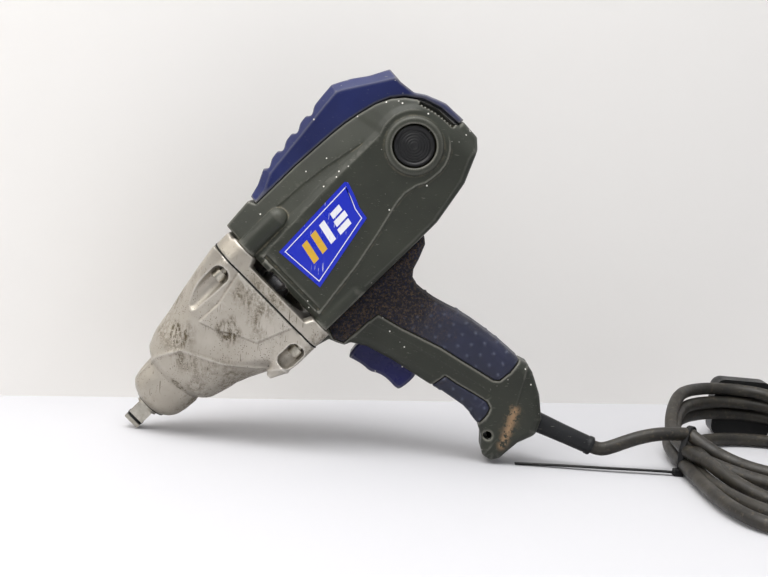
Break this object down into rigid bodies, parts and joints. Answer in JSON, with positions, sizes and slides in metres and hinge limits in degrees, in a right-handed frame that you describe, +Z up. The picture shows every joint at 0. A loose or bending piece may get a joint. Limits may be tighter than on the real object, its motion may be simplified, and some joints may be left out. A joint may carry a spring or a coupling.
{
  "type": "impact wrench",
  "caption": "Corded impact wrench with a square drive, cast hammer case, clamshell motor housing, rocker trigger grip and a tied coil of rubber cord with plug.",
  "frame": {"origin": "on the ground, under the middle of the tool's bounding box with the cord, coil, tie and plug left out", "axes": "+X along the ground from the drive tip's side towards the cord, +Y across the tool towards its right-hand side, +Z up; the tool stands on its drive tip and the toe of its heel"},
  "size_m": [0.5852, 0.3587, 0.2724],
  "materials": {
    "cast_case": "cast, worn and grimy",
    "gasket": "matte",
    "steel_bright": "ground",
    "steel_dark": "phosphated",
    "balls": "polished",
    "screws": "zinc plated",
    "ring_black": "matte",
    "bearing": "ground",
    "bronze": "sintered",
    "lamination": "varnished",
    "copper": "enamelled wire",
    "carbon": "sintered carbon",
    "housing_grey": "fine textured moulding, scuffed",
    "cover_blue": "moulded, scuffed",
    "rubber_blue": "soft, dimpled, grimy",
    "trigger_blue": "smooth, glossy",
    "black_plastic": "moulded",
    "label": "printed film, scratched",
    "relief_rubber": "moulded",
    "cord_rubber": "dusty rubber sheath",
    "tie_nylon": "nylon",
    "plug_black": "moulded",
    "pins_brass": "plated"
  },
  "bodies": {
    "tool": {"anvil_bush": "bronze", "anvil_washer": "steel_bright", "brush_cap_left": "black_plastic", "brush_cap_right": "black_plastic", "brush_holder_left": "bronze", "brush_holder_right": "bronze", "brush_spring_left": "steel_dark", "brush_spring_right": "steel_dark", "cable_tie": "tie_nylon", "case_gasket": "gasket", "case_screws": "screws", "cord_clamp": "black_plastic", "cord_coil": "cord_rubber", "field_coils": "copper", "front_bearing": "bearing", "front_grip_left": "rubber_blue", "front_grip_right": "rubber_blue", "gear_case": "cast_case", "hammer_case": "cast_case", "housing_left": "housing_grey", "housing_right": "housing_grey", "housing_screws": "screws", "lock_washers": "screws", "nose_seal": "gasket", "plug_body": "plug_black", "plug_pins": "pins_brass", "power_cord": "cord_rubber", "rear_bearing": "bearing", "rear_grip_left": "rubber_blue", "rear_grip_right": "rubber_blue", "ring_gear": "steel_bright", "side_label": "label", "spindle_bearing": "bearing", "stator_core": "lamination", "strain_relief": "relief_rubber", "suppressor": "black_plastic", "switch_body": "black_plastic", "top_cover": "cover_blue", "trigger_pin": "steel_bright", "trigger_springs": "steel_dark"},
    "drive_anvil": {"anvil": "steel_bright", "friction_ring": "ring_black"},
    "spindle": {"cam_spindle": "steel_bright", "planet_pins": "steel_bright", "hammer_spring": "steel_dark", "cam_balls": "balls"},
    "armature": {"armature_shaft": "steel_bright", "armature_core": "lamination", "armature_windings": "copper", "commutator": "copper", "cooling_fan": "black_plastic"},
    "planet_1": {"planet_gear_1": "steel_bright"},
    "planet_2": {"planet_gear_2": "steel_bright"},
    "planet_3": {"planet_gear_3": "steel_bright"},
    "sliding_washer": {"spring_washer": "steel_dark"},
    "hammer": {"hammer": "steel_dark", "thrust_balls": "balls"},
    "trigger": {"trigger": "trigger_blue"},
    "brush_left": {"carbon_brush_left": "carbon"},
    "brush_right": {"carbon_brush_right": "carbon"}
  },
  "joints": [
    {"name": "anvil_spin", "type": "hinge", "parent": "tool", "child": "drive_anvil", "pos_m": [-0.16658, 0, 0.00462], "axis": [0.6524, 0, 0.7578], "continuous": true},
    {"name": "spindle_spin", "type": "hinge", "parent": "tool", "child": "spindle", "pos_m": [-0.16658, 0, 0.00462], "axis": [0.6524, 0, 0.7578], "continuous": true},
    {"name": "armature_spin", "type": "hinge", "parent": "tool", "child": "armature", "pos_m": [-0.16658, 0, 0.00462], "axis": [0.6524, 0, 0.7578], "continuous": true},
    {"name": "planet_1_spin", "type": "hinge", "parent": "spindle", "child": "planet_1", "pos_m": [-0.09546, 0.0165, 0.08723], "axis": [0.6524, 0, 0.7578], "continuous": true},
    {"name": "planet_2_spin", "type": "hinge", "parent": "spindle", "child": "planet_2", "pos_m": [-0.10629, -0.00825, 0.09655], "axis": [0.6524, 0, 0.7578], "continuous": true},
    {"name": "planet_3_spin", "type": "hinge", "parent": "spindle", "child": "planet_3", "pos_m": [-0.08463, -0.00825, 0.07791], "axis": [0.6524, 0, 0.7578], "continuous": true},
    {"name": "hammer_retract", "type": "slide", "parent": "spindle", "child": "sliding_washer", "axis": [0.6524, 0, 0.7578], "range_m": [0, 0.009], "stiffness_N_per_m": 6000, "springref_m": -0.004, "deforming": ["hammer_spring"]},
    {"name": "hammer_turn", "type": "hinge", "parent": "sliding_washer", "child": "hammer", "pos_m": [-0.16658, 0, 0.00462], "axis": [0.6524, 0, 0.7578], "range_deg": [0, 24.05]},
    {"name": "trigger_rock", "type": "hinge", "parent": "tool", "child": "trigger", "pos_m": [0.01764, 0, 0.07299], "axis": [0, 1, 0], "range_deg": [-5, 5], "stiffness_Nm_per_rad": 2, "deforming": ["trigger_springs"]},
    {"name": "brush_left_wear", "type": "slide", "parent": "tool", "child": "brush_left", "axis": [0, -1, 0], "range_m": [0, 0.0025], "stiffness_N_per_m": 400, "springref_m": -0.003, "deforming": ["brush_spring_left"]},
    {"name": "brush_right_wear", "type": "slide", "parent": "tool", "child": "brush_right", "axis": [0, 1, 0], "range_m": [0, 0.0025], "stiffness_N_per_m": 400, "springref_m": -0.003, "deforming": ["brush_spring_right"]}
  ],
  "couplings": [
    {"joint": "spindle_spin", "follows": "anvil_spin", "ratio": 1},
    {"joint": "armature_spin", "follows": "anvil_spin", "ratio": 5.5},
    {"joint": "planet_1_spin", "follows": "anvil_spin", "ratio": -2.5714},
    {"joint": "planet_2_spin", "follows": "anvil_spin", "ratio": -2.5714},
    {"joint": "planet_3_spin", "follows": "anvil_spin", "ratio": -2.5714},
    {"joint": "hammer_turn", "follows": "hammer_retract", "rad_per_m": 46.542}
  ]
}
